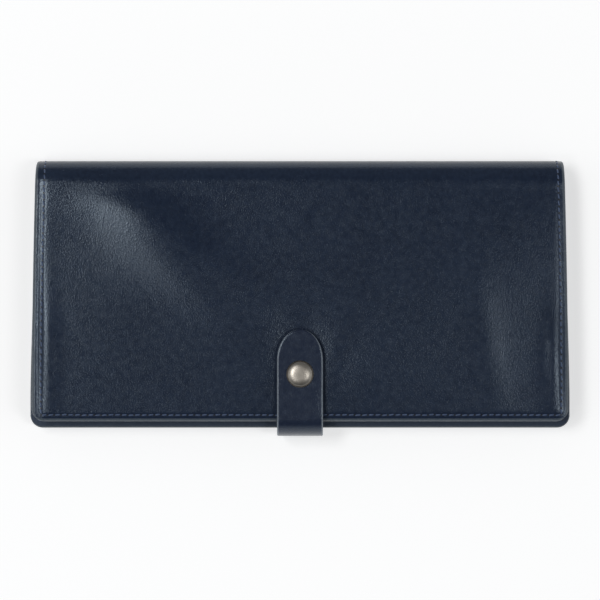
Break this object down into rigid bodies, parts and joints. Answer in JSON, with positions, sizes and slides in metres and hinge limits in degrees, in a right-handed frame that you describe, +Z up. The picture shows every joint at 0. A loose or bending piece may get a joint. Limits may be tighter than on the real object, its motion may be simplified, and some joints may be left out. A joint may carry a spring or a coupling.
{
  "type": "bifold long wallet",
  "caption": "Bifold long wallet lying closed, with a rounded spine, a zipped coin pocket, card pockets and a snap strap round its free edge.",
  "frame": {"origin": "bottom centre of the closed wallet's bounding box, on the surface it lies on", "axes": "+X along the wallet's length, +Y towards the spine, away from the free edges and the strap's bend, +Z up out of the front cover"},
  "size_m": [0.1948, 0.0988, 0.0242],
  "materials": {
    "navy_leather": "smooth, softly glossy, fine grain",
    "strap_leather": "smooth, softly glossy, burnished edge",
    "inner_leather": "matt",
    "leather_board": "matt",
    "lining_cloth": "fine plain weave",
    "zip_tape": "woven tape",
    "zip_metal": "antique nickel plated",
    "antique_nickel": "antique nickel plated, worn bright",
    "spring_steel": "plain"
  },
  "bodies": {
    "back_leaf": {"cover_back": "navy_leather", "stiffener_back": "leather_board", "lining_back": "lining_cloth", "coin_back_wall": "inner_leather", "coin_front_wall": "inner_leather", "coin_gusset": "inner_leather", "slip_pocket": "inner_leather", "zip_tape_near": "zip_tape", "zip_tape_far": "zip_tape", "zip_teeth_near": "zip_metal", "zip_teeth_far": "zip_metal", "zip_stop_closed": "zip_metal", "zip_stop_open": "zip_metal", "strap_root": "strap_leather"},
    "spine": {"cover_spine": "navy_leather", "lining_spine": "lining_cloth"},
    "front_leaf": {"cover_front": "navy_leather", "stiffener_front": "leather_board", "lining_front": "lining_cloth", "card_base": "inner_leather", "card_pocket_1": "inner_leather", "card_pocket_2": "inner_leather", "card_pocket_3": "inner_leather", "card_pocket_4": "inner_leather", "snap_stud": "antique_nickel", "snap_rivet": "antique_nickel"},
    "strap_side": {"strap_side": "strap_leather"},
    "strap_tab": {"strap_tab": "strap_leather", "snap_cap": "antique_nickel", "snap_socket": "antique_nickel", "snap_ring_spring": "spring_steel"},
    "zip_slider": {"zip_slider_body": "zip_metal"},
    "zip_puller": {"zip_puller": "zip_metal"}
  },
  "joints": [
    {"name": "spine_fold", "type": "hinge", "parent": "back_leaf", "child": "spine", "pos_m": [0, 0.047, 0.0024], "axis": [-1, 0, 0], "range_deg": [0, 89]},
    {"name": "front_fold", "type": "hinge", "parent": "spine", "child": "front_leaf", "pos_m": [0, 0.047, 0.0156], "axis": [-1, 0, 0], "range_deg": [0, 89]},
    {"name": "strap_swing", "type": "hinge", "parent": "back_leaf", "child": "strap_side", "pos_m": [0, -0.04861, 0.00209], "axis": [1, 0, 0], "range_deg": [0, 85]},
    {"name": "strap_lift", "type": "hinge", "parent": "strap_side", "child": "strap_tab", "pos_m": [0, -0.04861, 0.02161], "axis": [1, 0, 0], "range_deg": [0, 85]},
    {"name": "zip_slide", "type": "slide", "parent": "back_leaf", "child": "zip_slider", "axis": [-1, 0, 0], "range_m": [0, 0.132]},
    {"name": "puller_swing", "type": "hinge", "parent": "zip_slider", "child": "zip_puller", "pos_m": [0.0638, 0.02, 0.0093], "axis": [0, 0, 1], "range_deg": [-50, 50]}
  ],
  "couplings": [
    {"joint": "front_fold", "follows": "spine_fold", "ratio": 1},
    {"joint": "strap_lift", "follows": "strap_swing", "ratio": 1}
  ]
}
